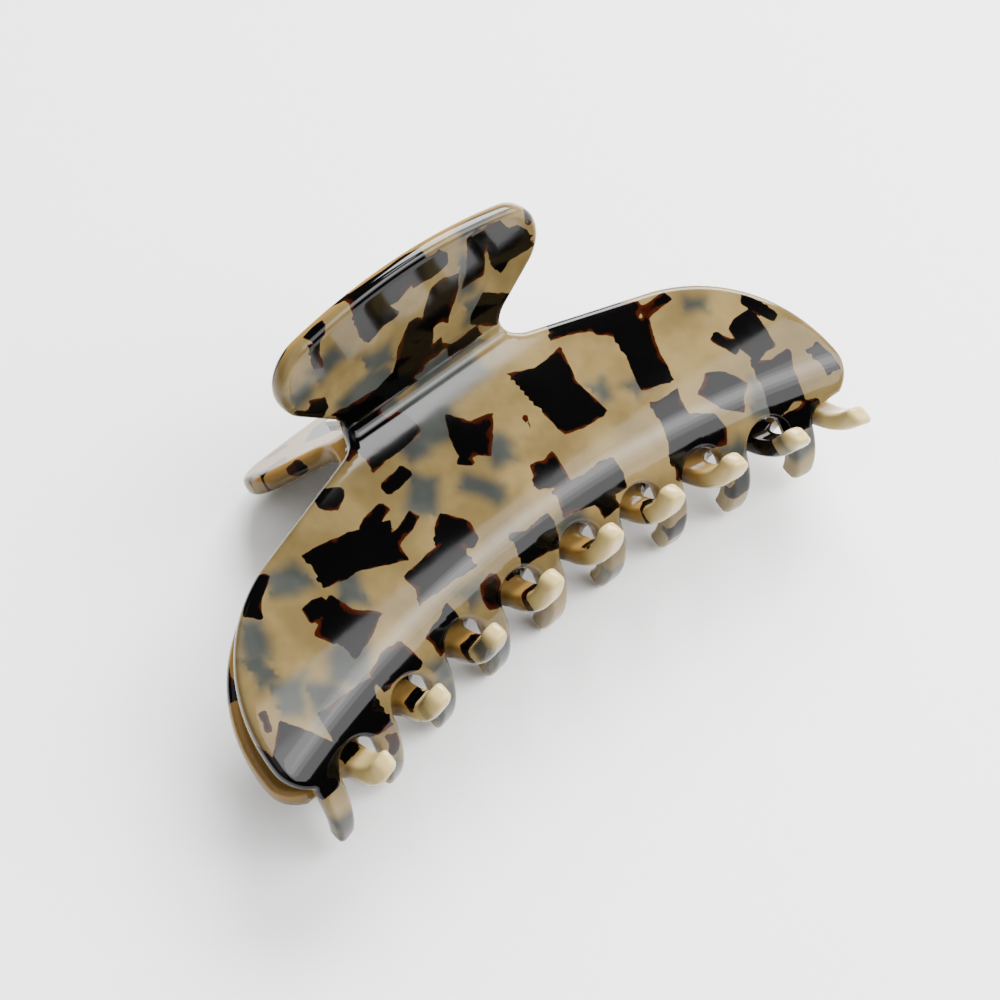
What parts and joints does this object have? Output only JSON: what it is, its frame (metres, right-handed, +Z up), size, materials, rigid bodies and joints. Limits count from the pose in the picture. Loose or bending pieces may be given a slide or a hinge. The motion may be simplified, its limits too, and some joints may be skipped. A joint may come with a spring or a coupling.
{
  "type": "claw clip",
  "caption": "Large hair claw clip: toothed jaws of bent tortoiseshell acetate sheet, joined by a sprung pin hinge hidden between flared thumb handles.",
  "frame": {"origin": "middle of the footprint on the table, with the closed clip lying on its rear handle and its front teeth", "axes": "+X along the jaws, +Y from the teeth towards the handles, +Z up"},
  "size_m": [0.1042, 0.0602, 0.0462],
  "materials": {
    "acetate": "polished tortoiseshell, cream and near black with thin red-brown edges",
    "steel": "bright plated"
  },
  "bodies": {
    "rear_half": {"rear_jaw": "acetate", "rear_bracket": "steel", "rear_bracket_screws": "steel", "hinge_pin": "steel", "pin_retainer": "steel", "torsion_spring": "steel"},
    "front_half": {"front_jaw": "acetate", "front_bracket": "steel", "front_bracket_screws": "steel"}
  },
  "joints": [
    {"name": "jaw_hinge", "type": "hinge", "parent": "rear_half", "child": "front_half", "pos_m": [0, 0.01741, 0.02191], "axis": [-1, 0, 0], "range_deg": [0, 90], "stiffness_Nm_per_rad": 0.06, "springref_deg": -91.67, "deforming": ["torsion_spring"]}
  ]
}
